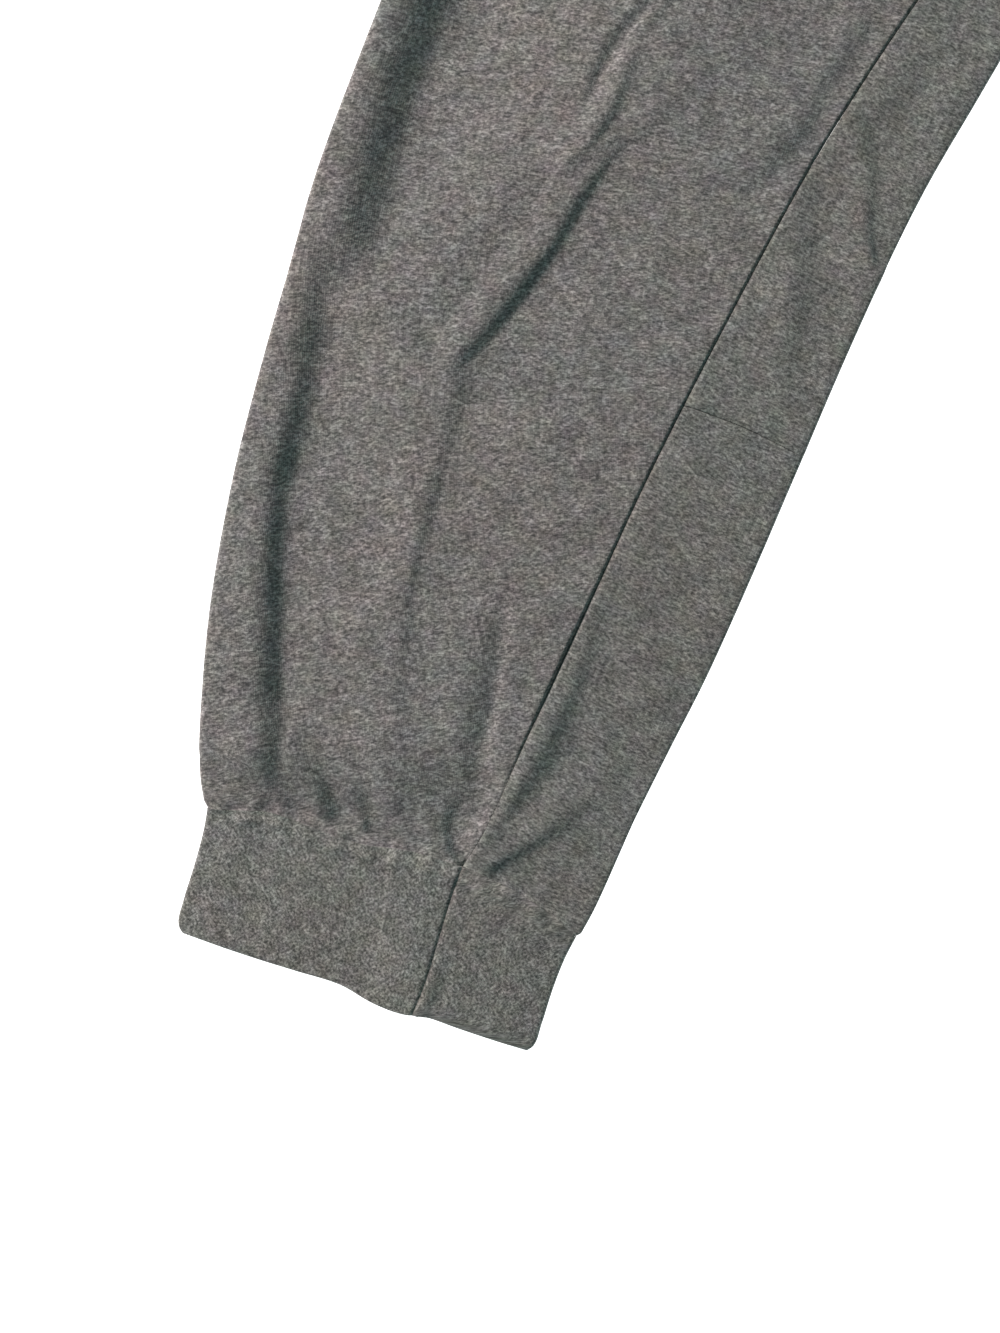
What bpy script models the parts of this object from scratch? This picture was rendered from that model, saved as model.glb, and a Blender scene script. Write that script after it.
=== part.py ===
"""Jogger sweatpants laid flat on their back, as thin cloth walls: panels, cuffs and waistband.

Run it with blender --background --python part.py, or from Blender's text editor.
Sizes are in millimetres and become metres in the meshes. The garment lies on z = 0, front up, with
+X towards the wearer's left and +Y towards the waist. "across" is a distance from the centre line and
"up" a distance above the hem, so one table serves both legs.
"""

import math
from bisect import bisect_right
from collections import namedtuple

import bmesh
import bpy
from mathutils import Vector

MM = 0.001

# Distances above the hem
LENGTH = 1008.0
CUFF_TOP = 61.0
CROSS_SEAM = 265.0
CROTCH = 723.0
GUSSET_TIP = 753.0
WAIST_SEAM = 959.0

# Cloth
WALL = 2.4
FOLDED_WALL = 3.0
SEAM_GAP = 0.34
HALF_GAP = SEAM_GAP / 2
LAID_HEIGHT = 6.6
LOWEST_TOP = 5.3
HIGHEST_TOP = 8.7

# Folds at the edges of the flat tube
OUTER_FOLD = 4.2
INNER_FOLD = 3.9
BAND_FOLD = 3.9
ROLL_WIDTH = 15.0
OUTSEAM_WRAP = 22.0
CROTCH_ARC = 9.0
CROTCH_ARC_START = math.radians(17)

# Where the rows of the inner-leg panel start to turn, and where they meet the arc at the crotch
ROWS_TURN = 561.0
ROWS_REACH_ARC = 736.0

# Mesh density
PANEL_COLUMNS = 20
INNER_COLUMNS = 5
BACK_COLUMNS = 16
WRAP_COLUMNS = 4
FOLD_STEPS = 4
CUFF_COLUMNS = 18
CUFF_STRIP_COLUMNS = 7
CUFF_ROWS = (0.0, 0.02, 0.06, 0.3, 0.54, 0.78, 1.0)
BAND_COLUMNS = 64
BAND_ROWS = (0.0, 0.12, 0.5, 0.88, 1.0)
PUFF_ROWS = (65.0, 71.0, 79.0, 89.0, 100.0, 112.0)
SHOWN_STEP = 17.0
SHOWN_TOP = 440.0
THIGH_STEP = 39.0
CROTCH_ROWS = (715.0, 726.0, 736.0, 741.0, 747.0)
HIP_ROWS = (770.0, 800.0, 835.0, 870.0, 900.0, 922.0, 940.0)

RIGHT, LEFT = -1, 1

# The flat leg: its outer fold, the forward seam and its inner fold, from the cuff to the waist
Section = namedtuple("Section", "up outer seam inner")
LEG_SECTIONS = (
    Section(61, 300.4, 195.0, 142.2),
    Section(73, 306.2, 191.8, 139.2),
    Section(88, 311.0, 189.2, 136.4),
    Section(103, 314.9, 187.4, 134.0),
    Section(133, 321.4, 183.4, 129.0),
    Section(163, 325.6, 179.4, 123.8),
    Section(193, 328.4, 175.0, 120.0),
    Section(223, 329.8, 171.0, 116.8),
    Section(253, 330.6, 166.2, 113.8),
    Section(313, 331.0, 155.3, 106.8),
    Section(373, 327.2, 143.0, 97.6),
    Section(418, 323.4, 130.9, 87.2),
    Section(471, 318.0, 114.5, 74.6),
    Section(541, 309.5, 92.0, 57.8),
    Section(611, 301.5, 68.0, 39.8),
    Section(671, 295.0, 46.0, 22.6),
    Section(723, 288.5, 17.2, 7.0),
    Section(753, 284.5, 0.0, 0.0),
    Section(800, 276.0, 0.0, 0.0),
    Section(850, 262.0, 0.0, 0.0),
    Section(905, 238.0, 0.0, 0.0),
    Section(959, 206.0, 0.0, 0.0),
)

# The cuff: edges of the flat band from hem to top, then its two long edges, across by up
CUFF_SECTIONS = (
    Section(0, 294.6, 197.0, 148.6),
    Section(3, 296.8, 196.6, 146.8),
    Section(14, 297.8, 195.6, 146.2),
    Section(32, 297.8, 195.6, 146.0),
    Section(48, 298.2, 195.6, 145.0),
    Section(61, 299.4, 195.0, 143.2),
)
HEM = ((140, 0.4), (158, 0.4), (177, 1.0), (190, 1.6), (202, 0.0), (214, 0.8), (228, 3.8), (247, 3.9),
       (266, 4.0), (300, 5.2))
CUFF_SEAM = ((140, 48.0), (152, 53.7), (170, 59.8), (190, 62.6), (216, 63.2), (236, 60.2), (254, 60.6),
             (275, 61.6), (295, 56.8), (304, 55.6))

# The waistband: half its flat width from the seam to its top edge
BAND_SECTIONS = ((0.0, 203.5), (0.5, 201.0), (1.0, 202.0))
BAND_GATHERS = 0.55
BAND_PITCH = 13.0
PANEL_GATHERS = 1.0
PANEL_PITCH = 26.0
GATHERS_REACH = 95.0

# The easing of the leg into its cuff
PUFF_HEIGHT = 1.5
PUFF_CENTRE = 19.0
PUFF_REACH = 15.0
CUFF_SEAM_FADE = 42.0

# The cross seam sags towards the inner fold
CROSS_SAG = 6.0
CROSS_FADE = 60.0

# Creases of the upper layer: a bowed line, its full width, and its height (below zero, a trough)
Crease = namedtuple("Crease", "from_across from_up to_across to_up bow width height")
RIGHT_CREASES = (
    Crease(304, 415, 277, 68, -22, 15, -1.5),
    Crease(219, 430, 267, 245, 4, 15, 2.0),
    Crease(216, 392, 256, 246, 3, 10, -1.5),
    Crease(251, 250, 223, 84, -11, 16, -1.5),
    Crease(202, 172, 188, 70, -3, 14, 1.7),
    Crease(212, 176, 199, 68, -3, 9, -1.1),
    Crease(170, 172, 189, 74, 2, 11, -1.2),
    Crease(189, 64, 138, 132, 5, 10, -1.3),
    Crease(129, 400, 106, 335, 3, 12, -1.2),
    Crease(236, 640, 262, 470, 8, 22, 1.4),
    Crease(180, 690, 205, 540, -6, 18, -1.3),
    Crease(30, 790, 150, 738, 6, 18, 1.5),
    Crease(44, 822, 168, 790, 5, 20, -1.2),
    Crease(112, 700, 150, 560, -5, 16, 1.3),
)
LEFT_CREASES = (
    Crease(306, 398, 283, 74, -17, 14, -1.5),
    Crease(226, 452, 258, 290, -5, 16, 2.0),
    Crease(232, 400, 247, 268, -3, 10, -1.3),
    Crease(262, 262, 232, 92, 9, 17, -1.5),
    Crease(206, 206, 197, 76, 4, 15, 1.7),
    Crease(217, 180, 208, 72, 3, 9, -1.0),
    Crease(166, 196, 181, 82, 2, 11, -1.1),
    Crease(187, 66, 144, 118, 4, 10, -1.3),
    Crease(124, 372, 110, 318, 3, 12, -1.2),
    Crease(250, 662, 236, 505, -9, 24, 1.4),
    Crease(196, 648, 214, 528, 7, 17, -1.3),
    Crease(24, 778, 138, 748, 7, 17, 1.5),
    Crease(52, 806, 184, 800, 6, 20, -1.2),
    Crease(104, 650, 132, 520, 5, 16, 1.3),
)
CREASES = {RIGHT: RIGHT_CREASES, LEFT: LEFT_CREASES}
CREASE_END = 0.18

PANEL_GREY = (0.175, 0.172, 0.165)
STRIP_GREY = (0.142, 0.143, 0.133)
CUFF_GREY = (0.155, 0.153, 0.143)
CLOTH_ROUGHNESS = 0.95


def curve_through(points):
    """A smooth function through (place, value) points, straight on past its ends."""
    places = [place for place, _ in points]
    values = [value for _, value in points]
    steps = [(values[i + 1] - values[i]) / (places[i + 1] - places[i]) for i in range(len(points) - 1)]
    slopes = [steps[0]] + [(a + b) / 2 for a, b in zip(steps, steps[1:])] + [steps[-1]]

    def value_at(place):
        if place <= places[0]:
            return values[0] + slopes[0] * (place - places[0])
        if place >= places[-1]:
            return values[-1] + slopes[-1] * (place - places[-1])
        i = bisect_right(places, place) - 1
        span = places[i + 1] - places[i]
        t = (place - places[i]) / span
        ease = t * t * (3 - 2 * t)
        lean = t * (1 - t) * (slopes[i] * (1 - t) - slopes[i + 1] * t) * span
        return values[i] + (values[i + 1] - values[i]) * ease + lean

    return value_at


leg_outer = curve_through([(row.up, row.outer) for row in LEG_SECTIONS])
leg_seam = curve_through([(row.up, row.seam) for row in LEG_SECTIONS if row.up <= GUSSET_TIP])
leg_inner = curve_through([(row.up, row.inner) for row in LEG_SECTIONS if row.up < CROTCH])
cuff_outer = curve_through([(row.up, row.outer) for row in CUFF_SECTIONS])
cuff_seam_line = curve_through([(row.up, row.seam) for row in CUFF_SECTIONS])
cuff_inner = curve_through([(row.up, row.inner) for row in CUFF_SECTIONS])
hem_line = curve_through(HEM)
cuff_top_line = curve_through(CUFF_SEAM)
band_half_width = curve_through(BAND_SECTIONS)


def smoothstep(value):
    """0 to 1 as the value goes from 0 to 1, level at both ends."""
    t = min(max(value, 0.0), 1.0)
    return t * t * (3 - 2 * t)


def bell(value):
    return math.exp(-value * value)


def crease_height(crease, across, up):
    """What one crease adds to the height of the upper layer at a point."""
    start = Vector((crease.from_across, crease.from_up))
    run = Vector((crease.to_across, crease.to_up)) - start
    offset = Vector((across, up)) - start
    along = offset.dot(run) / run.length_squared
    if not 0 < along < 1:
        return 0.0
    aside = run.cross(offset) / run.length - crease.bow * 4 * along * (1 - along)
    ends = smoothstep(along / CREASE_END) * smoothstep((1 - along) / CREASE_END)
    return crease.height * ends * bell(2 * aside / crease.width)


def gathers(place, pitch):
    """Uneven waves between 0 and 1, a wave every pitch or so."""
    drift = 0.9 * math.sin(place / (2.7 * pitch)) + 0.5 * math.sin(place / (1.3 * pitch) + 1.0)
    return 0.5 + 0.5 * math.cos(2 * math.pi * place / pitch + drift)


def upper_height(side, across, up, inward, fold_height):
    """Height of the outer face of the upper layer, inward millimetres from a fold of that height."""
    roll = (fold_height - LAID_HEIGHT) * (1 - smoothstep(inward / ROLL_WIDTH))
    folds = sum(crease_height(crease, across, up) for crease in CREASES[side])
    puff = PUFF_HEIGHT * bell((up - CUFF_TOP - PUFF_CENTRE) / PUFF_REACH)
    waist = PANEL_GATHERS * (1 - smoothstep((WAIST_SEAM - up) / GATHERS_REACH))
    pleats = waist * gathers(across / leg_outer(up) * LEG_SECTIONS[-1].outer, PANEL_PITCH)
    relief = (folds + puff + pleats) * smoothstep(inward / ROLL_WIDTH)
    return min(max(LAID_HEIGHT + roll + relief, LOWEST_TOP), HIGHEST_TOP)


def hairpin(radius, wall):
    """The fold from the upper layer to the lower: (reach, height) pairs of its outer and inner faces."""
    turns = [math.pi * (0.5 - k / FOLD_STEPS) for k in range(FOLD_STEPS + 1)]
    outer = [(radius * math.cos(turn), radius + radius * math.sin(turn)) for turn in turns]
    small = radius - wall
    inner = [(small * math.cos(turn), radius + small * math.sin(turn)) for turn in turns]
    return list(zip(outer, inner))


def steps_between(start, end, count):
    return [start + (end - start) * k / count for k in range(count + 1)]


def wall_object(name, rows, colour):
    """One closed wall through its sections. A row is the outer points of a section and its inner ones."""
    mesh = bmesh.new()
    outer = [[mesh.verts.new(point) for point in row[0]] for row in rows]
    inner = [[mesh.verts.new(point) for point in row[1]] for row in rows]
    last_row = len(rows) - 1
    last_column = len(rows[0][0]) - 1
    for i in range(last_row):
        for j in range(last_column):
            mesh.faces.new((outer[i][j], outer[i][j + 1], outer[i + 1][j + 1], outer[i + 1][j]))
            mesh.faces.new((inner[i + 1][j], inner[i + 1][j + 1], inner[i][j + 1], inner[i][j]))
        for j in (0, last_column):
            rim = (outer[i][j], outer[i + 1][j], inner[i + 1][j], inner[i][j])
            mesh.faces.new(rim if j == 0 else rim[::-1])
    for i in (0, last_row):
        for j in range(last_column):
            end = (outer[i][j + 1], outer[i][j], inner[i][j], inner[i][j + 1])
            mesh.faces.new(end if i == 0 else end[::-1])
    bmesh.ops.recalc_face_normals(mesh, faces=mesh.faces)
    data = bpy.data.meshes.new(name)
    mesh.to_mesh(data)
    mesh.free()
    data.shade_smooth()
    data.set_sharp_from_angle(angle=math.radians(50))
    data.materials.append(cloth_material(name, colour))
    piece = bpy.data.objects.new(name, data)
    bpy.context.scene.collection.objects.link(piece)
    return piece


def cloth_material(name, colour):
    material = bpy.data.materials.new(name)
    material.use_nodes = True
    shader = material.node_tree.nodes["Principled BSDF"]
    shader.inputs["Base Color"].default_value = (*colour, 1)
    shader.inputs["Roughness"].default_value = CLOTH_ROUGHNESS
    shader.inputs["Metallic"].default_value = 0
    return material


def placed(side, section):
    """A section's (across, up, height) pairs as rows of points in metres."""
    middle = LENGTH / 2
    rows = []
    for face in zip(*section):
        rows.append([Vector((side * across, up - middle, height)) * MM for across, up, height in face])
    return rows


def settled(across, up):
    """Rows near the cuff follow its wavy top seam."""
    fade = 1 - smoothstep((up - CUFF_TOP) / CUFF_SEAM_FADE)
    return up + (cuff_top_line(across) - CUFF_TOP) * fade


def centre_edge(up):
    """Where a front or back panel ends towards the centre: at the forward seam, or at the centre seam."""
    if up < GUSSET_TIP:
        return max(leg_seam(up) + HALF_GAP, HALF_GAP)
    return HALF_GAP


def shown_rows():
    """Rows of a panel from the cuff to the top of the stretch with the finer creases."""
    rows = list(PUFF_ROWS)
    while rows[-1] + SHOWN_STEP < SHOWN_TOP:
        rows.append(rows[-1] + SHOWN_STEP)
    return rows


def thigh_rows():
    count = round((CROTCH_ROWS[0] - SHOWN_TOP) / THIGH_STEP)
    return steps_between(SHOWN_TOP, CROTCH_ROWS[0], count)[:-1] + list(CROTCH_ROWS)


def panel_rows():
    leg = [CUFF_TOP + HALF_GAP] + shown_rows() + thigh_rows()
    return leg + [GUSSET_TIP] + list(HIP_ROWS) + [WAIST_SEAM - HALF_GAP]


def front_section(side, up):
    """Across the front from its inner seam, round the outer fold and on to the outseam beneath."""
    turn = leg_outer(up) - OUTER_FOLD
    section = []
    for across in steps_between(centre_edge(up), turn, PANEL_COLUMNS)[:-1]:
        row_up = settled(across, up)
        height = upper_height(side, across, row_up, turn - across, 2 * OUTER_FOLD)
        section.append(((across, row_up, height), (across, row_up, height - WALL)))
    for outer, inner in hairpin(OUTER_FOLD, WALL):
        row_up = settled(turn + outer[0], up)
        section.append(((turn + outer[0], row_up, outer[1]), (turn + inner[0], row_up, inner[1])))
    for across in steps_between(turn, turn - OUTSEAM_WRAP + HALF_GAP, WRAP_COLUMNS)[1:]:
        row_up = settled(across, up)
        section.append(((across, row_up, 0), (across, row_up, WALL)))
    return placed(side, section)


def back_section(side, up):
    """The lower layer, from the outseam to the back seam or the centre seam."""
    outseam = leg_outer(up) - OUTER_FOLD - OUTSEAM_WRAP - HALF_GAP
    section = []
    for across in steps_between(outseam, centre_edge(up), BACK_COLUMNS):
        row_up = settled(across, up)
        section.append(((across, row_up, 0), (across, row_up, WALL)))
    return placed(side, section)


def inner_edge(up):
    """The point of the inner fold that a row from the seam reaches. It rounds the crotch at the top."""
    if up <= ROWS_TURN:
        return Vector((leg_inner(up), up))
    centre = CROTCH - CROTCH_ARC
    arc_up = centre + CROTCH_ARC * math.sin(CROTCH_ARC_START)
    if up <= ROWS_REACH_ARC:
        reach = (up - ROWS_TURN) / (ROWS_REACH_ARC - ROWS_TURN)
        edge_up = ROWS_TURN + (arc_up - ROWS_TURN) * reach
        return Vector((leg_inner(edge_up), edge_up))
    share = min((up - ROWS_REACH_ARC) / (GUSSET_TIP - 2 * SEAM_GAP - ROWS_REACH_ARC), 1.0)
    turn = CROTCH_ARC_START + (math.pi / 2 - CROTCH_ARC_START) * share
    return Vector((CROTCH_ARC * math.cos(turn), centre + CROTCH_ARC * math.sin(turn)))


def inner_section(side, up):
    """From the forward seam, round the inner fold and back beneath to the back seam."""
    seam = Vector((max(leg_seam(up) - HALF_GAP, HALF_GAP), up))
    run = inner_edge(up) - seam
    towards = run.normalized()
    width = run.length - INNER_FOLD
    sag = CROSS_SAG * bell((up - CROSS_SEAM) / CROSS_FADE)

    def laid(reach):
        point = seam + towards * reach
        row_up = settled(point.x, point.y) - sag * (reach / run.length) ** 2
        return max(point.x, HALF_GAP), row_up

    section = []
    for reach in steps_between(0, width, INNER_COLUMNS)[:-1]:
        across, row_up = laid(reach)
        height = upper_height(side, across, row_up, width - reach, 2 * INNER_FOLD)
        section.append(((across, row_up, height), (across, row_up, height - WALL)))
    for outer, inner in hairpin(INNER_FOLD, WALL):
        section.append(((*laid(width + outer[0]), outer[1]), (*laid(width + inner[0]), inner[1])))
    for reach in steps_between(width, 0, INNER_COLUMNS)[1:]:
        section.append(((*laid(reach), 0), (*laid(reach), WALL)))
    return placed(side, section)


def cuff_section(side, share):
    """The folded band at a share of its height, from its seam round both edges and back to the seam."""
    nominal = CUFF_TOP * share
    wall = FOLDED_WALL * (0.4 + 0.6 * smoothstep(share / CUFF_ROWS[2]))
    thin = (FOLDED_WALL - wall) / 2
    outer_turn = cuff_outer(nominal) - BAND_FOLD
    inner_turn = cuff_inner(nominal) + BAND_FOLD
    seam = cuff_seam_line(nominal)
    path = []
    for across in steps_between(seam + HALF_GAP, outer_turn, CUFF_COLUMNS)[:-1]:
        path.append((across, 2 * BAND_FOLD - thin, across, 2 * BAND_FOLD - thin - wall))
    for outer, inner in hairpin(BAND_FOLD - thin, wall):
        path.append((outer_turn + outer[0], outer[1] + thin, outer_turn + inner[0], inner[1] + thin))
    for across in steps_between(outer_turn, inner_turn, CUFF_COLUMNS)[1:-1]:
        path.append((across, thin, across, thin + wall))
    for outer, inner in reversed(hairpin(BAND_FOLD - thin, wall)):
        path.append((inner_turn - outer[0], outer[1] + thin, inner_turn - inner[0], inner[1] + thin))
    for across in steps_between(inner_turn, seam - HALF_GAP, CUFF_STRIP_COLUMNS)[1:]:
        path.append((across, 2 * BAND_FOLD - thin, across, 2 * BAND_FOLD - thin - wall))

    def lifted(across, height):
        low = hem_line(across)
        high = cuff_top_line(across) - HALF_GAP
        return across, low + (high - low) * share, height

    return placed(side, [(lifted(a, high), lifted(b, low)) for a, high, b, low in path])


def band_section(share):
    """The waistband at a share of its height, from its seam at the centre back and round both edges."""
    bottom = WAIST_SEAM + HALF_GAP
    up = bottom + (LENGTH - bottom) * share
    turn = band_half_width(share) - BAND_FOLD
    full = 0.35 + 0.65 * smoothstep(min(share, 1 - share) / BAND_ROWS[1])
    path = []
    for across in (HALF_GAP, turn / 2):
        path.append((across, 0, across, FOLDED_WALL))
    for outer, inner in reversed(hairpin(BAND_FOLD, FOLDED_WALL)):
        path.append((turn + outer[0], outer[1], turn + inner[0], inner[1]))
    for across in steps_between(turn, -turn, BAND_COLUMNS)[1:-1]:
        flat = smoothstep((turn - abs(across)) / ROLL_WIDTH)
        height = 2 * BAND_FOLD + BAND_GATHERS * full * flat * gathers(across, BAND_PITCH)
        path.append((across, height, across, 2 * BAND_FOLD - FOLDED_WALL))
    for outer, inner in hairpin(BAND_FOLD, FOLDED_WALL):
        path.append((-turn - outer[0], outer[1], -turn - inner[0], inner[1]))
    for across in (-turn / 2, -HALF_GAP):
        path.append((across, 0, across, FOLDED_WALL))
    return placed(LEFT, [((a, up, high), (b, up, low)) for a, high, b, low in path])


def build_leg(side, name):
    rows = panel_rows()
    wall_object(f"{name}_front_panel", [front_section(side, up) for up in rows], PANEL_GREY)
    wall_object(f"{name}_back_panel", [back_section(side, up) for up in rows], PANEL_GREY)
    below = [up for up in rows if up < CROSS_SEAM - HALF_GAP] + [CROSS_SEAM - HALF_GAP]
    above = [up for up in rows if CROSS_SEAM + HALF_GAP < up < GUSSET_TIP]
    above = [CROSS_SEAM + HALF_GAP] + above + [GUSSET_TIP - 2 * SEAM_GAP]
    wall_object(f"{name}_inner_panel_lower", [inner_section(side, up) for up in below], STRIP_GREY)
    wall_object(f"{name}_inner_panel_upper", [inner_section(side, up) for up in above], STRIP_GREY)
    wall_object(f"{name}_cuff", [cuff_section(side, share) for share in CUFF_ROWS], CUFF_GREY)


def main():
    for thing in list(bpy.data.objects):
        bpy.data.objects.remove(thing, do_unlink=True)
    build_leg(RIGHT, "right")
    build_leg(LEFT, "left")
    wall_object("waistband", [band_section(share) for share in BAND_ROWS], CUFF_GREY)


main()
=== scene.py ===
# Jogger sweatpants laid flat. Each packed cloth wall is dressed with a finer, creased shell of fleece.
# Sizes are in millimetres until a shell is made. "across" is a distance from the centre line and "up" one
# from the hem, so one table serves both legs. Fold tables differ from leg to leg, as cloth does.
import math

import bmesh
import bpy
import numpy as np
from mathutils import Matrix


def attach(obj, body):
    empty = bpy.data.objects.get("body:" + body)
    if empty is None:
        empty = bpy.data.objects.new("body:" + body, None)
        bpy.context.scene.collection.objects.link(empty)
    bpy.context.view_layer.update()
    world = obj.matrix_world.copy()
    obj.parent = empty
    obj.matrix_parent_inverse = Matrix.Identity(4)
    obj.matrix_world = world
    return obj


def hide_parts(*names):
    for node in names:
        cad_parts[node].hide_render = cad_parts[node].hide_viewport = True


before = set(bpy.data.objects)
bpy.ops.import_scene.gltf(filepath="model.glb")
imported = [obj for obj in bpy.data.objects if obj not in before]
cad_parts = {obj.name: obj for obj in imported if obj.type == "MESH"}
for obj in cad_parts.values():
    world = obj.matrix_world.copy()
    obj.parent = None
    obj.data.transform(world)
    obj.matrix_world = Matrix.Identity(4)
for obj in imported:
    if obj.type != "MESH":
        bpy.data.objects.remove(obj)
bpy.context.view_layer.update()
print("frame loaded:", ", ".join(sorted(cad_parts)))

mm = 0.001
right, left = -1, 1

garment = {
    "length": 1008.0,
    "cuffTop": 61.0,
    "crossSeam": 265.0,
    "crotch": 723.0,
    "gussetTip": 753.0,
    "waistSeam": 959.0,
    "laidHeight": 7.0,  # outer face of the upper layer, where nothing lifts it
    "lowestTop": 4.2,  # the upper layer never sinks into the lower one
    "outerFold": 4.2,  # how far the rounding of an edge reaches in
    "innerFold": 3.9,
    "bandFold": 3.9,
    "seamTouch": 0.03,  # half of the gap between two sewn edges
}

# the flat leg: outer fold, forward seam and inner fold, from the cuff to the waist
legSections = np.array([
    # up, outer, seam, inner
    (61, 300.4, 195.0, 142.2),
    (73, 306.2, 191.8, 139.2),
    (88, 311.0, 189.2, 136.4),
    (103, 314.9, 187.4, 134.0),
    (133, 321.4, 183.4, 129.0),
    (163, 325.6, 179.4, 123.8),
    (193, 328.4, 175.0, 120.0),
    (223, 329.8, 171.0, 116.8),
    (253, 330.6, 166.2, 113.8),
    (313, 331.0, 155.3, 106.8),
    (373, 327.2, 143.0, 97.6),
    (418, 323.4, 130.9, 87.2),
    (471, 318.0, 114.5, 74.6),
    (541, 309.5, 92.0, 57.8),
    (611, 301.5, 68.0, 39.8),
    (671, 295.0, 46.0, 22.6),
    (723, 288.5, 17.2, 7.0),
    (753, 284.5, 0.0, 0.0),
    (800, 276.0, 0.0, 0.0),
    (850, 262.0, 0.0, 0.0),
    (905, 238.0, 0.0, 0.0),
    (959, 206.0, 0.0, 0.0),
])
cuffSections = np.array([
    # up, outer, seam, inner
    (0, 294.6, 197.0, 148.6),
    (3, 296.8, 196.6, 146.8),
    (14, 297.8, 195.6, 146.2),
    (32, 297.8, 195.6, 146.0),
    (48, 298.2, 195.6, 145.0),
    (61, 299.4, 195.0, 143.2),
])
hemLine = ((140, 0.4), (158, 0.4), (177, 1.0), (190, 1.6), (202, 0.0), (214, 0.8), (228, 3.8), (247, 3.9),
           (266, 4.0), (300, 5.2))
cuffSeamLine = ((140, 48.0), (152, 53.7), (170, 59.8), (190, 62.6), (216, 63.2), (236, 60.2), (254, 60.6),
                (275, 61.6), (295, 56.8), (304, 55.6))


def smoothstep(value):
    t = np.clip(value, 0, 1)
    return t * t * (3 - 2 * t)


def bell(value):
    return np.exp(-value * value)


def sideBySide(*parts):
    return np.concatenate(parts, axis=1)


def shares(count):  # even shares, from the first one above 0 up to 1
    return np.linspace(0, 1, count + 1)[None, 1:]


def throughPoints(points):  # a smooth curve through (place, value) points, straight on past its ends
    places, values = np.array(points, float).T
    steps = np.diff(values) / np.diff(places)
    slopes = np.concatenate((steps[:1], (steps[:-1] + steps[1:]) / 2, steps[-1:]))

    def valueAt(place):
        i = np.clip(np.searchsorted(places, place, side="right") - 1, 0, len(places) - 2)
        span = places[i + 1] - places[i]
        past = (place - places[i]) / span
        t = np.clip(past, 0, 1)
        lean = t * (1 - t) * (slopes[i] * (1 - t) - slopes[i + 1] * t) * span
        onward = (np.minimum(past, 0) * slopes[i] + np.maximum(past - 1, 0) * slopes[i + 1]) * span
        return values[i] + (values[i + 1] - values[i]) * t * t * (3 - 2 * t) + lean + onward

    return valueAt


legOuter = throughPoints(legSections[:, (0, 1)])
legSeam = throughPoints(legSections[legSections[:, 0] <= garment["gussetTip"]][:, (0, 2)])
legInner = throughPoints(legSections[legSections[:, 0] < garment["crotch"]][:, (0, 3)])
cuffOuter = throughPoints(cuffSections[:, (0, 1)])
cuffSeam = throughPoints(cuffSections[:, (0, 2)])
cuffInner = throughPoints(cuffSections[:, (0, 3)])
hemAt = throughPoints(hemLine)
cuffTopAt = throughPoints(cuffSeamLine)

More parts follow.
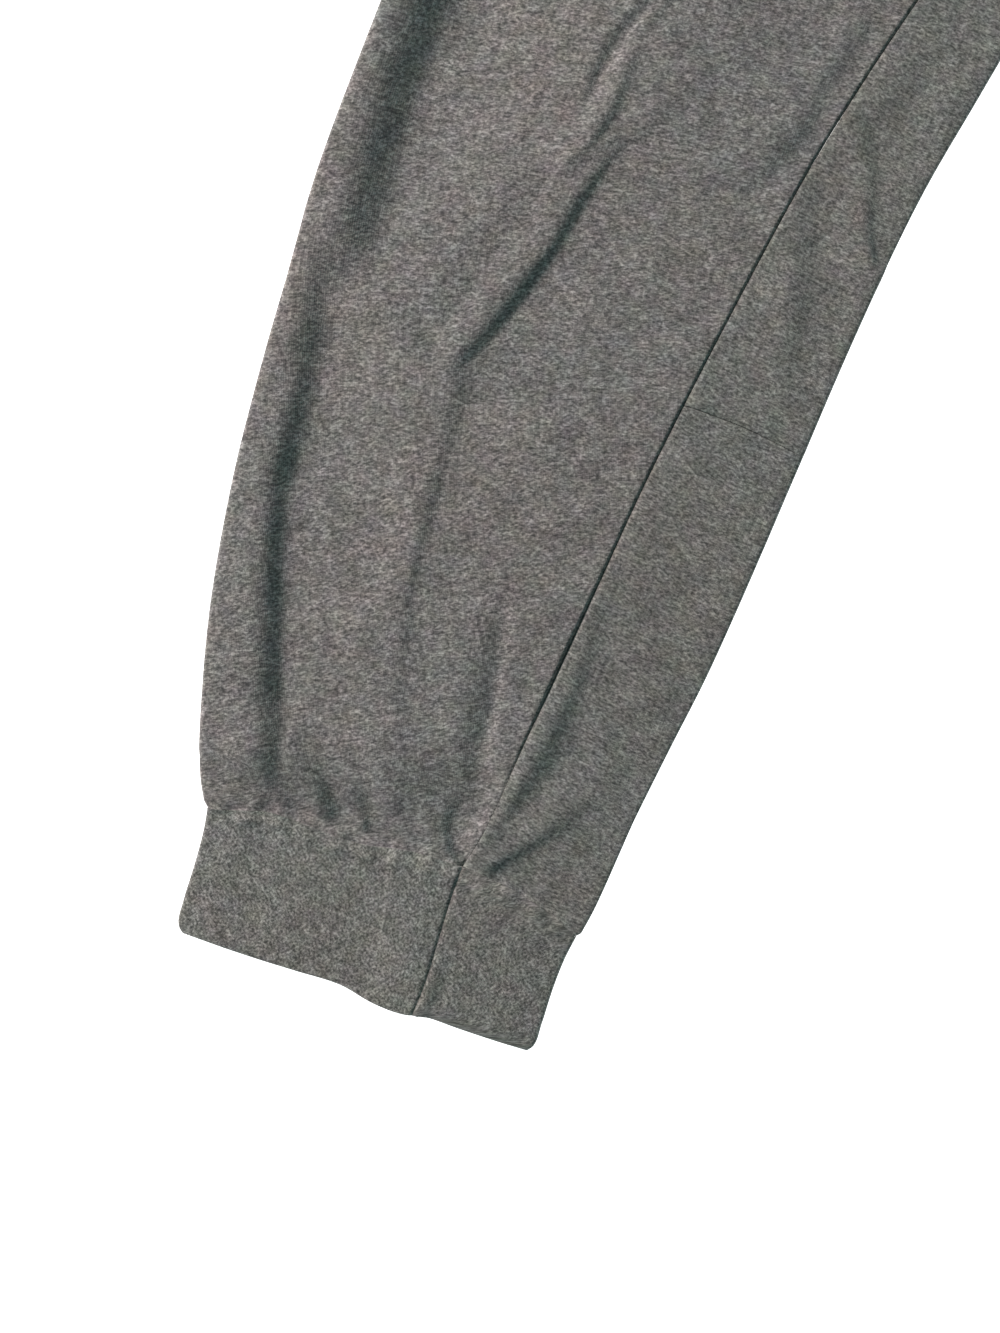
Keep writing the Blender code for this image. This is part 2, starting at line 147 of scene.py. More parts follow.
# A step is a line where the cloth drops towards the inner side, listed from the waist down. Its columns are
# across, up, the slope of the drop in degrees, the width of the drop on the outer and inner side, and how far
# it takes to level out on either side.
rightSteps = {
    "edge roll, thigh": [(296, 560, 0, 8, 7, 60, 90), (301, 480, 17, 11, 8, 60, 90),
        (304.5, 420, 25, 11, 9.4, 60, 90), (306.5, 391, 30, 11, 10.6, 60, 90),
        (308, 368, 31, 10.6, 9.6, 60, 90), (308.6, 346, 31, 9.7, 8, 60, 90),
        (308.4, 326, 31, 9.6, 8.4, 60, 90), (307, 310, 29, 10.8, 10, 60, 90),
        (308, 293, 25, 11.4, 10.6, 60, 90), (311, 268, 0, 8, 8, 50, 60)],
    "edge roll, shin": [(321, 290, 0, 5, 4.6, 40, 60), (318, 272, 12, 5.4, 6.4, 40, 60),
        (314.4, 248, 27.4, 6, 5.8, 40, 60), (311, 227, 32, 6, 5, 40, 60), (309.3, 200, 34, 5.8, 5, 40, 60),
        (306, 174, 35.6, 5, 4.6, 40, 60), (298.3, 145.5, 36.6, 4.6, 3.8, 40, 60),
        (287.7, 114, 39.5, 8.1, 2.5, 40, 60), (278.9, 84, 38.5, 6.9, 2.6, 34, 50),
        (278.4, 70, 14.7, 2.6, 2.9, 26, 40), (280, 60, 0, 2.2, 4.5, 20, 30)],
    "knee crease": [(199, 386, 0, 3.6, 2.8, 16, 25), (208.4, 368, 17, 4, 2.6, 22, 32),
        (216.8, 357, 28, 4.2, 1.9, 30, 34), (222, 345, 37, 4, 1.6, 34, 42),
        (226.6, 329, 35, 4.1, 1.5, 38, 50), (231.4, 310, 38.5, 3.8, 1.5, 36, 58),
        (237.1, 293, 36, 4.2, 1.6, 40, 60), (244.2, 274, 37, 5, 2, 38, 56),
        (252.6, 257.5, 33, 3.8, 2, 28, 44), (258.8, 249, 0, 2.4, 1.2, 14, 31)],
    "outside the knee crease": [(240, 352, 0, 10, 3.8, 30, 7), (246, 334, 11.6, 12, 3.6, 28, 7),
        (251.6, 316, 12, 14, 4.4, 40, 7), (258, 298, 14.4, 17, 4.6, 44, 8),
        (264.4, 278, 16.6, 19, 5.4, 44, 8), (270, 256, 8, 11, 5.2, 36, 8), (276, 232, 0, 9, 5, 26, 8)],
    "shin crease": [(252.5, 256, 0, 4, 4, 24, 40), (251.5, 244, 14, 4, 4, 24, 40),
        (250.6, 227, 16, 3.8, 3.6, 24, 40), (249, 203, 20, 3.4, 3, 26, 40), (248.3, 182, 22, 3, 2.6, 26, 40),
        (246.6, 160, 22, 2.4, 1.8, 24, 36), (243, 150, 17, 2.2, 1.8, 22, 30),
        (242.6, 139, 17, 3, 2.4, 22, 30), (240.5, 126, 13, 4, 3.4, 22, 30), (235, 114, 11, 4, 4, 20, 26),
        (226, 102, 0, 5, 5, 20, 26)],
    "upper knee crease": [(213, 432, 0, 2.3, 2, 8, 12), (220.6, 408, 10, 2.8, 2.4, 9, 14),
        (223.2, 393, 21, 3, 2.5, 9, 14), (224.2, 380, 27, 3.2, 2.8, 9, 13),
        (225.6, 366, 30, 2.6, 2.4, 10, 11), (229.2, 353, 36, 2.2, 1.8, 11, 9),
        (235.8, 341, 38, 1.8, 1.6, 10, 6), (241.2, 332, 0, 1.5, 1.1, 8, 4)],
    "pocket a": [(278.2, 77, 0, 2.4, 3.9, 7.6, 12.9), (271.6, 71, 21.7, 2.7, 2.3, 12.2, 6.9),
        (266.2, 65.4, 19.7, 2.3, 2.3, 10.5, 7.8), (261.7, 60.6, 0, 2.1, 2.4, 8, 5.2)],
    "above pocket b": [(277.8, 112, 0, 11, 4, 16, 12), (272.8, 98, 14.2, 3.4, 4.4, 16, 12),
        (269.1, 88, 15.7, 8.6, 3.4, 16, 12), (267.2, 80, 16.3, 6.8, 3.2, 14, 10),
        (265.8, 74, 0, 2.5, 3.1, 12, 8)],
    "pocket b": [(266.9, 92, 0, 8, 4.8, 17.9, 17.7), (262.2, 83, 25.7, 5.5, 2.7, 19.1, 18.4),
        (256.2, 75.6, 39.5, 4.9, 3.2, 12.7, 14.5), (249.9, 69, 41.9, 4.7, 3, 10.9, 16.6),
        (244.6, 61, 0, 4.2, 3.3, 13.3, 12.3)],
    "pocket c": [(248.6, 81, 0, 2.5, 4.2, 9, 8), (240.8, 73.4, 44, 2.4, 2.9, 9, 8),
        (235.8, 68.4, 50, 2.5, 4, 9, 8), (233.2, 62, 0, 2, 3, 7, 6)],
    "pocket d": [(222.7, 85, 0, 5.9, 2.4, 12, 8), (216.5, 76, 14, 5.3, 3.1, 12, 8),
        (211.6, 69, 12, 3.2, 3.4, 10, 6), (208.6, 62, 0, 2.7, 3.5, 8, 5)],
    "ankle foot": [(206.7, 94, 0, 3.7, 4.4, 9.1, 8.6), (205, 84, 19, 3.7, 4.7, 14, 6),
        (203.9, 75, 33, 4.6, 4, 13, 6.6), (201, 69, 38, 3, 2.6, 7, 8), (198.3, 65.6, 45, 2.6, 2.3, 7.4, 5),
        (192, 60, 0, 1.6, 1.6, 5, 4.3)],
    "beside the seam": [(170.4, 188, 0, 3, 2.8, 8, 46), (171, 162, 17, 3.4, 2.8, 9.6, 80),
        (172.3, 142, 21.6, 3.4, 3.7, 10.6, 80), (174.9, 121, 22, 4.2, 5.6, 10.6, 80),
        (178, 106, 27.5, 4.4, 6, 10, 70), (183.8, 88, 34, 4, 4.1, 9, 62), (187.4, 78, 25, 2.5, 3.2, 6, 24),
        (189.2, 66, 0, 2, 2.6, 5, 14)],
    "strip above the cuff": [(176, 150, 0, 4, 20, 6, 40), (180, 110, 3.6, 4, 20, 6, 40),
        (182, 84, 5, 4, 20, 6, 40), (182, 60, 5, 4, 20, 6, 40), (182, 44, 5, 4, 20, 6, 40)],
    "cuff to edge": [(144.6, 111, 0, 3.5, 3.2, 21, 49), (161, 90.4, 22.6, 4.4, 2.7, 22, 53),
        (166.5, 83, 30, 3.8, 2.4, 20, 60), (172.2, 76.4, 32, 2.8, 1.6, 17, 54),
        (177.7, 71.4, 30, 3, 1.6, 14.6, 40), (181.4, 67.2, 36.6, 2.4, 2.2, 10.2, 31),
        (186.2, 62.2, 38.6, 2.8, 1.6, 6, 20), (190.3, 56.1, 0, 1.6, 1.4, 5, 16)],
    "inner edge": [(132, 404, 0, 3, 3, 10, 30), (128.6, 393, 14, 3, 3.4, 10, 30),
        (121.6, 381, 20, 3, 3.8, 10, 30), (117, 367, 23, 3, 3, 9, 30), (113.6, 354, 32, 2.6, 2, 8, 24),
        (110, 346, 42, 2.2, 1.6, 7, 20), (106.4, 340.6, 46, 2, 1.2, 7, 18), (101, 335, 46, 2, 1.2, 7, 18)],
    "upper strip": [(140, 376, 0, 7, 5, 14, 24), (138, 350, 12.6, 8, 5, 15, 24),
        (134, 332, 14.6, 8, 5, 15, 24), (129.5, 301, 14.4, 6.6, 5, 14, 24), (127, 280, 8, 5, 5, 12, 20),
        (126, 268, 0, 5, 5, 12, 20)],
    "left of the seam": [(129, 460, 0, 5, 4, 16, 8), (138, 436, 13, 5, 4, 16, 8),
        (145.4, 404, 15, 5.4, 4, 16, 8), (150, 384, 16, 5, 3.8, 14, 8), (156, 370, 15, 3.8, 3.4, 14, 6),
        (163, 357, 12, 4, 3.4, 12, 6), (171, 344, 0, 4, 3.4, 10, 5)],
}
# A ridge lifts the cloth along a line, and a trough sinks it. Its columns are across, up, height, and its
# width to the outer and inner side.
rightRidges = {
    "thigh fullness": [(226, 600, 0, 60, 50), (226, 500, 2.9, 70, 47), (222, 430, 3.7, 50, 42),
        (214, 390, 3.8, 66, 44), (205, 350, 1.9, 76, 37), (198, 300, 0, 70, 30)],
    "thigh crease": [(215.4, 436, 0, 3, 3), (223.2, 414, -1.2, 2.9, 3.3), (227.6, 404, -2.1, 3.2, 3.9),
        (231, 396, -2.4, 3.3, 4.5), (233.3, 386, -2.8, 3.4, 5.6), (234.6, 376, -2.7, 3, 4.6),
        (236.4, 361, 0, 2.5, 3.8)],
    "thigh crease line": [(213, 432, 0, 1.7, 1.7), (218.9, 416.6, 0.8, 1.7, 1.7), (227, 397, 0.9, 1.7, 1.7),
        (231.6, 380, 0.6, 1.7, 1.7), (234, 366, 0, 1.7, 1.7)],
    "knee crease line": [(220, 366, 0, 1.6, 1.6), (224.2, 357.4, 0.7, 1.6, 1.6),
        (230.6, 346.6, 0.8, 1.6, 1.6), (237, 336.4, 0.7, 1.6, 1.6), (243, 326, 0, 1.6, 1.6)],
    "ankle trough": [(211.8, 184, 0, 7.9, 2.2), (208, 162, -1.3, 5.1, 3.1), (204.2, 142, -2.1, 5.9, 3),
        (202.1, 121, -2.8, 7.5, 2.9), (200.6, 105, -1.9, 10.7, 3.1), (200.4, 90, -3.3, 23.9, 15.3),
        (202.6, 80, -4, 10.2, 5.4), (199.5, 72, -1.9, 4.5, 5.3), (195.5, 66.4, -1.9, 2.9, 2.2),
        (193.2, 58, 0, 3.2, 2)],
    "ankle bulge": [(202.7, 170, 0, 3.6, 7.3), (199.1, 150, -0.2, 2.8, 3.2), (199.6, 112, -1.4, 4.9, 18.6),
        (192.7, 88, -2.5, 8.8, 18.9), (192.8, 74, 0.6, 3.6, 6.1), (192.1, 62, 0, 3.4, 4)],
    "between the puckers": [(246, 112, 0, 3.2, 2.4), (239.9, 90, 0.5, 2.6, 4.9), (230.5, 78, 1.9, 2.8, 6),
        (224.3, 69, 0, 2.3, 3.8)],
    "lip at the seam": [(195, 69, 0, 2, 2.4), (191.4, 65.4, 0.9, 2.2, 2.6), (186.6, 61, 0, 2, 2.4)],
    "upper thigh fold": [(228, 660, 0, 14, 10), (240, 610, 1.6, 14, 10), (256, 520, 1.5, 13, 10),
        (262, 462, 0, 12, 10)],
    "upper thigh hollow": [(178, 700, 0, 10, 12), (186, 640, -1.3, 10, 12), (204, 560, -1.1, 9, 11),
        (208, 520, 0, 8, 9)],
    "crotch fold": [(26, 792, 0, 9, 7), (70, 768, 1.7, 9, 7), (122, 748, 1.4, 9, 8), (168, 738, 0, 9, 8)],
    "crotch hollow": [(40, 824, 0, 9, 10), (92, 806, -1.2, 9, 10), (150, 796, -1.0, 9, 10),
        (186, 790, 0, 9, 10)],
    "seam fold": [(108, 706, 0, 8, 8), (126, 650, 1.2, 9, 8), (146, 590, 1.0, 9, 8), (152, 552, 0, 8, 8)],
    "hip fold": [(226, 846, 0, 12, 10), (214, 800, 1.3, 12, 10), (222, 742, 1.1, 12, 10),
        (232, 700, 0, 12, 10)],
}
rightPockets = {  # troughs between the gathers, sunk right up to the cuff
    "pocket d": [(227, 96, 0, 8, 4), (221.6, 82, -0.6, 8, 4), (216.4, 71, -1.0, 7, 3.6),
        (211, 61.6, 0, 3, 2.6)],
    "pocket e": [(206.8, 80, 0, 3.1, 2.4), (203.2, 73, 0, 4.7, 3), (196.9, 67.4, -2.9, 4.4, 2.5),
        (194.8, 63.4, -2.7, 2.8, 2), (193.2, 60.4, 0, 2, 1.4)],
    "above the pockets": [(290, 75.2, 0, 2.7, 5.1), (276, 67.7, -1.7, 2.8, 9.4), (260, 64.9, -4, 3.2, 7.3),
        (246, 65.8, -3.7, 3, 7.7), (230, 64.8, -3.2, 6.2, 7.9), (212, 66.2, -1.7, 3, 6),
        (200, 63.9, 0, 4.2, 13.3)],
}
leftSteps = {
    "edge roll, thigh": [(296, 580, 0, 8, 6, 60, 60), (303, 500, 14, 9, 7, 60, 60),
        (307, 430, 20, 8.5, 7, 60, 60), (309, 386, 23, 7.5, 6, 60, 60), (310.5, 350, 22, 7, 6, 60, 60),
        (309, 322, 15, 7.5, 6.5, 60, 60), (311, 296, 0, 7, 7, 50, 60)],
    "edge roll, shin": [(322, 300, 0, 5, 4, 40, 60), (317, 270, 20, 5, 4.4, 40, 60),
        (312.5, 232, 30, 4.5, 3.9, 40, 60), (309, 194, 32, 4.2, 3.6, 40, 60),
        (302, 154, 32, 3.6, 3.1, 40, 60), (293, 118, 29, 3.2, 2.9, 40, 60), (286, 88, 22, 3, 2.7, 34, 50),
        (281, 64, 0, 2.6, 2.4, 26, 40)],
    "knee crease": [(204, 420, 0, 3, 2.4, 9, 28), (216, 396, 13, 3, 1.8, 9, 30),
        (228, 364, 28, 3.2, 1.2, 11, 36), (236, 336, 37, 3.6, 1, 12, 42), (243, 306, 38, 4, 1, 13, 44),
        (250, 280, 27, 3.6, 1, 12, 40), (255, 266, 0, 2.6, 1, 9, 30)],
    "shin crease": [(259, 270, 0, 4, 4, 24, 40), (257.5, 244, 12, 3.8, 3.4, 24, 40),
        (255, 206, 15, 3.2, 2.8, 26, 40), (251, 166, 12, 3, 2.6, 24, 36), (243, 126, 8, 3.8, 3.6, 22, 30),
        (236, 98, 0, 5, 5, 20, 26)],
    "beside the seam": [(169, 200, 0, 3, 3.4, 7, 22), (172, 158, 14, 3, 3.4, 8, 22),
        (177, 118, 19, 3, 3.2, 8, 20), (184, 88, 19, 2.8, 2.6, 7, 16), (189, 68, 0, 2, 2, 5, 10)],
    "cuff to edge": [(143, 110, 0, 3, 3, 12, 50), (157, 96, 16, 2.6, 2, 11, 50),
        (170, 80, 25, 2.2, 1.6, 9, 46), (181, 70, 25, 2, 1.6, 7, 30), (188, 58, 0, 1.6, 1.6, 6, 16)],
    "inner edge": [(136, 392, 0, 3, 3, 10, 30), (125, 370, 14, 3, 2.6, 9, 30),
        (115, 344, 27, 2.4, 1.6, 8, 22), (107, 326, 32, 2, 1.2, 7, 18)],
}
leftRidges = {
    "beside the knee crease": [(256, 330, 0, 5, 5), (262, 306, -0.6, 5, 5), (268, 280, -0.5, 5, 5),
        (274, 262, 0, 5, 5)],
    "thigh crease": [(222, 452, 0, 2.8, 2.6), (232, 424, -1.1, 2.8, 2.6), (237, 398, -1.3, 2.8, 2.8),
        (240, 374, 0, 2.8, 3)],
    "ankle trough": [(214, 200, 0, 5, 3), (208.6, 160, -1.5, 5.6, 3), (204, 122, -2.0, 5.8, 3.6),
        (201.6, 88, -2.1, 5.4, 4), (199, 70, -2.2, 4.4, 3), (195, 59, 0, 3, 2)],
    "ankle bulge": [(201, 180, 0, 3, 6), (198, 130, 0.5, 3.5, 6), (195.4, 88, 0.8, 3.5, 6),
        (191.4, 62, 0, 3, 4)],
    "upper thigh fold": [(252, 680, 0, 14, 10), (238, 622, 1.5, 14, 10), (236, 552, 1.5, 13, 10),
        (240, 500, 0, 12, 10)],
    "upper thigh hollow": [(194, 664, 0, 10, 12), (202, 606, -1.2, 10, 12), (214, 548, -1.0, 9, 11),
        (216, 516, 0, 8, 9)],
    "crotch fold": [(22, 780, 0, 9, 7), (62, 764, 1.6, 9, 7), (108, 756, 1.4, 9, 8), (150, 748, 0, 9, 8)],
    "crotch hollow": [(48, 810, 0, 9, 10), (104, 802, -1.2, 9, 10), (160, 800, -1.0, 9, 10),
        (200, 802, 0, 9, 10)],
    "seam fold": [(98, 672, 0, 8, 8), (114, 618, 1.2, 9, 8), (128, 560, 1.0, 9, 8), (134, 516, 0, 8, 8)],
    "hip fold": [(206, 862, 0, 12, 10), (208, 812, 1.2, 12, 10), (224, 764, 1.1, 12, 10),
        (240, 726, 0, 12, 10)],
}
leftPockets = {
    "pocket a": [(276, 82, 0, 3, 4), (269.6, 72, -1.8, 3.6, 3.6), (264, 61, 0, 2.6, 3)],
    "pocket b": [(254, 86, 0, 4, 4), (248, 74, -2.6, 3.8, 3.4), (242.4, 61.4, 0, 2.6, 3)],
    "pocket c": [(236, 82, 0, 3, 3), (230.6, 71, -2, 3.2, 3.2), (225.6, 61.4, 0, 2.4, 3)],
    "pocket d": [(207, 84, 0, 3, 3), (201, 72, -2.2, 3.6, 2.6), (194.4, 61.4, 0, 2.4, 2)],
}
steps = {right: rightSteps, left: leftSteps}
ridges = {right: rightRidges, left: leftRidges}
pockets = {right: rightPockets, left: leftPockets}
lineParts = 6  # straight parts between two points of a fold line
foldReach = 2.6  # a fold has faded out at this many of its widths
stepRounding = 3  # the higher, the more squarely a step turns level
swellWander = (0.8, 0.37)  # how far and how slowly the swells of the cloth wander
gatherDrift = ((0.9, 2.7, 0.0), (0.5, 1.3, 1.0))  # slow waves in gathers: size, length in pitches, start


def foldLine(table):  # the line of a fold as short straight parts, with the columns of its table along it
    points = np.array(table, float)
    places = np.arange(len(points))
    along = np.linspace(0, len(points) - 1, lineParts * (len(points) - 1) + 1)
    line = np.column_stack([throughPoints(np.column_stack((places, points[:, k])))(along) for k in (0, 1)])
    return line, points[:, 2:]


def fromLine(line, across, up):  # distance from a line, above zero on its outer side, and the place along it
    nearest = np.full(across.shape, 1e9)
    place = np.zeros(across.shape)
    for k in range(len(line) - 1):
        runAcross, runUp = line[k + 1] - line[k]
        asideAcross, asideUp = across - line[k, 0], up - line[k, 1]
        t = np.clip((asideAcross * runAcross + asideUp * runUp) / (runAcross ** 2 + runUp ** 2), 0, 1)
        gap = np.hypot(asideAcross - t * runAcross, asideUp - t * runUp)
        outside = np.where(runAcross * asideUp - runUp * asideAcross > 0, 1, -1)
        closer = gap < np.abs(nearest)
        nearest = np.where(closer, gap * outside, nearest)
        place = np.where(closer, (k + t) / lineParts, place)
    return nearest, place


def addFolds(tables, shape, across, up, height):
    for table in tables.values():
        line, columns = foldLine(table)
        reach = foldReach * columns[:, -2:].max()
        low, high = line.min(0) - reach, line.max(0) + reach
        near = (across > low[0]) & (across < high[0]) & (up > low[1]) & (up < high[1])
        if near.any():
            aside, place = fromLine(line, across[near], up[near])
            values = [np.interp(place, np.arange(len(columns)), column) for column in columns.T]
            height[near] += shape(aside, *values)


def stepShape(aside, slope, outerWidth, innerWidth, outerEase, innerEase):
    width = np.where(aside > 0, outerWidth, innerWidth)
    levelling = (1 + np.abs(aside / width) ** stepRounding) ** (1 / stepRounding)
    drop = np.tan(np.radians(slope)) * aside / levelling
    return drop * bell(aside / np.where(aside > 0, outerEase, innerEase))


def ridgeShape(aside, height, outerWidth, innerWidth):
    return height * bell(aside / np.where(aside > 0, outerWidth, innerWidth))


def undulation(across, up, swells, seedShift=0):  # soft, uneven swells of the cloth
    waves, seed, longest, shortest, height = swells
    chance = np.random.default_rng(seed + seedShift)
    wander, slowness = swellWander
    total = np.zeros(across.shape)
    for _ in range(waves):
        length = math.exp(chance.uniform(math.log(shortest), math.log(longest)))
        turn, phase = chance.uniform(0, math.pi), chance.uniform(0, 2 * math.pi)
        wave = (across * math.cos(turn) + up * math.sin(turn)) * 2 * math.pi / length + phase
        total += height * length / longest * np.sin(wave + wander * np.sin(wave * slowness + phase))
    return total


def gathers(place, pitch):  # uneven waves between 0 and 1
    drift = sum(size * np.sin(place / (length * pitch) + start) for size, length, start in gatherDrift)
    return 0.5 + 0.5 * np.cos(2 * math.pi * place / pitch + drift)


crotchRounding = [(4.6, 721.7), (0.0, 723.0)]  # the inner fold ends here, past its last straight row
innerFoldRows = np.linspace(garment["cuffTop"], 716.6, 60)
innerFoldLine = np.array([(legInner(up), up) for up in innerFoldRows] + crotchRounding)

upperLayer = {
    # heights of the rolled edges along the leg
    "outerEdge": throughPoints([(55, 8.0), (72, 9.4), (88, 11.6), (104, 11.0), (130, 8.9), (300, 8.8),
                                (450, 9.2), (560, 9.6), (700, 9.8), (850, 9.2), (959, 8.2)]),
    "innerEdge": throughPoints([(48, 6.2), (75, 5.7), (120, 5.9), (250, 7.0), (420, 7.4), (560, 8.6),
                                (650, 8.6), (760, 7.2)]),
    "outerRoll": 26.0,
    "innerRoll": 22.0,
    "reliefFade": 9.0,
    "swells": (18, 11, 60, 16, 0.16),  # waves, seed, longest, shortest and height
    "crown": (2.6, 66.0, 70.0),  # the leg is fullest here: height, place in from the outer edge and reach
    "crownFade": (70.0, 150.0, 640.0, 820.0),
    "puff": throughPoints([(138, 0.9), (160, 2.6), (190, 2.2), (215, 2.7), (236, 4.9), (256, 5.4), (272, 7.0),
                           (286, 4.6), (302, 0.5)]),  # height of the ease above the cuff
    "puffPlace": (28.6, 16.2),
    "cuffDipReach": 3.6,
    "cuffValley": throughPoints([(138, 5.8), (170, 6.0), (200, 6.1), (218, 6.1), (240, 6.5), (270, 6.6),
                                 (284, 7.0), (302, 7.4)]),
    "cuffGathers": (12.4, 1.5),  # pitch and start
    "cuffLumps": 1.2,
    "waistGathers": (1.1, 26.0, 95.0),
    "waistDip": (1.6, 3.0),
    "lowestEase": 0.35,  # how softly the layer comes down to its lowest height
    "seamDepth": throughPoints([(40, 1.1), (66, 0.9), (82, 0.5), (100, 0.7), (128, 1.5), (142, 2.1),
                                (160, 2.2), (180, 1.8), (210, 1.6), (260, 1.5), (960, 1.4)]),
    "seamReach": 0.75,
    "innerSeamShare": throughPoints([(40, 0.4), (110, 0.4), (136, 1.0), (160, 1.1), (182, 0.7), (230, 0.5),
                                     (960, 0.5)]),
}


def cuffGathers(across):  # the leg and the cuff are gathered alike along their seam
    pitch, start = upperLayer["cuffGathers"]
    return gathers(across + start, pitch)


def cuffSeamHeight(across):  # the leg and the cuff meet in a shallow valley
    return upperLayer["cuffValley"](across) + upperLayer["cuffLumps"] * cuffGathers(across)


def upperHeight(side, across, up, above, fromOuter, fromInner, fromSeam, seamShare):
    # the outer face of the upper layer. fromOuter and fromInner are distances in from the two rounded edges,
    # above is the distance from the cuff seam and fromSeam the distance from the sewn edge
    top = upperLayer
    height = np.full(across.shape, garment["laidHeight"])
    height += (top["outerEdge"](up) - garment["laidHeight"]) * (1 - smoothstep(fromOuter / top["outerRoll"]))
    height += (top["innerEdge"](up) - garment["laidHeight"]) * (1 - smoothstep(fromInner / top["innerRoll"]))
    relief = undulation(across, up, top["swells"], side)
    puffAt, puffReach = top["puffPlace"]
    relief += top["puff"](across) * bell((above - puffAt) / puffReach)
    waistHeight, waistPitch, waistReach = top["waistGathers"]
    belowWaist = garment["waistSeam"] - up
    scale = legSections[-1, 1] / legOuter(up)
    relief += waistHeight * (1 - smoothstep(belowWaist / waistReach)) * gathers(across * scale, waistPitch)
    crownHeight, crownAt, crownReach = top["crown"]
    low, lowFull, highFull, high = top["crownFade"]
    crown = crownHeight * smoothstep((up - low) / (lowFull - low))
    crown *= smoothstep((high - up) / (high - highFull))
    relief *= smoothstep(np.minimum(fromOuter, fromInner) / top["reliefFade"])
    relief += crown * bell((fromOuter - crownAt) / crownReach)
    addFolds(steps[side], stepShape, across, up, relief)
    addFolds(ridges[side], ridgeShape, across, up, relief)
    relief -= top["waistDip"][0] * bell(belowWaist / top["waistDip"][1])
    height += relief
    height += (cuffSeamHeight(across) - height) * bell(above / top["cuffDipReach"])
    addFolds(pockets[side], ridgeShape, across, up, height)
    lowest, ease = garment["lowestTop"], top["lowestEase"]
    height = lowest + np.logaddexp(0, (height - lowest) / ease) * ease
    return height - seamShare * top["seamDepth"](up) * bell(fromSeam / top["seamReach"])


seamSteps = np.array([0.0, 0.0, 0.25, 0.6, 1.0, 1.5, 2.2, 3.1, 4.2])  # columns beside a sewn edge
turnedEdge = 1.5  # the sewn edge turns down by this much
closeRow = 0.15  # the row beside a sewn edge stands this close to it
cuffJoin = {
    "settling": 42,  # rows this far up still follow the wavy top seam of the cuff
    "tuck": (0.6, 4),  # how far the leg reaches under the lip of the cuff, fading over this height
    "pinch": (1.5, 3),  # how far the tucked rows stay inside the cuff's outline, fading likewise
}


def edgeDrop(distance, depth, reach):  # how far a folded edge has turned down, by the distance from it
    return depth * (1 - np.sqrt(1 - (1 - np.clip(distance / reach, 0, 1)) ** 2))


def roundedEdge(count):  # past the top of an edge roll to its underside, as (reach, share of the height)
    turn = np.linspace(math.pi / 2, -math.pi / 2, count + 1)[None, 1:]
    return np.clip(np.cos(turn), 0, 1) ** 0.5, 0.5 + 0.5 * np.sign(np.sin(turn)) * np.abs(np.sin(turn)) ** 0.5


def rowsBetween(marks):  # rows from (start, spacing) pairs to the last start
    rows = []
    for (start, spacing), (end, _) in zip(marks, marks[1:]):
        count = max(1, round((end - start) / spacing))
        rows.extend(start + (end - start) * np.arange(count) / count)
    return np.array(rows + [marks[-1][0]])


def grainMap(panel, side, flatAcross, up):  # flat cloth in metres, turned so that x follows its courses
    x = side * (flatAcross - panel["pivot"][0])
    y = up - panel["pivot"][1]
    angle = panel["grain"](up) if callable(panel["grain"]) else panel["grain"]
    turn = np.radians(angle) * np.ones(x.shape)
    return np.stack((x * np.cos(turn) + y * np.sin(turn), -x * np.sin(turn) + y * np.cos(turn)), axis=-1) * mm


def unrolled(across, height):  # the across of the cloth when its rounded edges are rolled out flat
    runs = np.hypot(np.diff(across, axis=1), np.diff(height, axis=1))
    return across[:, :1] + sideBySide(np.zeros((len(across), 1)), np.cumsum(runs, axis=1))


def placed(name, data):
    thing = bpy.data.objects.new(name, data)
    bpy.context.scene.collection.objects.link(thing)
    return thing


pieces = []


def clothShell(node, panel, side, across, up, height, flatAcross, flip):
    name = node + "_cloth"
    grain = grainMap(panel, side, flatAcross, up)
    rows, columns = across.shape
    mesh = bmesh.new()
    bmesh.ops.create_grid(mesh, x_segments=columns - 1, y_segments=rows - 1, size=0.5)
    data = bpy.data.meshes.new(name)
    mesh.to_mesh(data)
    mesh.free()
    places = np.stack((side * across, up - garment["length"] / 2, height), axis=-1) * mm
    data.vertices.foreach_set("co", places.astype(np.float32).ravel())
    corners = np.empty(len(data.loops), np.int32)
    data.loops.foreach_get("vertex_index", corners)
    flat = data.uv_layers.new(name="cloth")
    flat.uv.foreach_set("vector", grain.reshape(-1, 2)[corners].astype(np.float32).ravel())
    if flip:
        data.flip_normals()
    data.shade_smooth()
    data.update()
    piece = placed(name, data)
    thickness = piece.modifiers.new("wall", "SOLIDIFY")
    thickness.thickness = panel["wall"] * mm
    thickness.offset = -1
    thickness.use_even_offset = False
    pieces.append((piece, node, panel))


def settled(across, up):  # rows near the cuff follow its wavy top seam, and the first ones tuck under its lip
    above = up - garment["cuffTop"]
    fade = 1 - smoothstep(above / cuffJoin["settling"])
    depth, reach = cuffJoin["tuck"]
    return up + (cuffTopAt(across) - garment["cuffTop"]) * fade - depth * (1 - smoothstep(above / reach))


def pinched(up):
    depth, reach = cuffJoin["pinch"]
    return depth * (1 - smoothstep((up - garment["cuffTop"]) / reach))


def centreEdge(up):  # where a front or back panel ends towards the centre
    return np.where(up < garment["gussetTip"], np.maximum(legSeam(up), 0), 0) + garment["seamTouch"]


def fromInnerFold(across, up):
    return np.abs(fromLine(innerFoldLine, across, up)[0]) - garment["innerFold"]


def fleeceRows(marks):  # the first and last row have a close neighbour, so that a sewn edge can turn down
    rows = rowsBetween(marks)
    first, last = rows[0], rows[-1]
    return np.array([first, first + closeRow, *rows[1:-1], last - closeRow, last])[:, None]


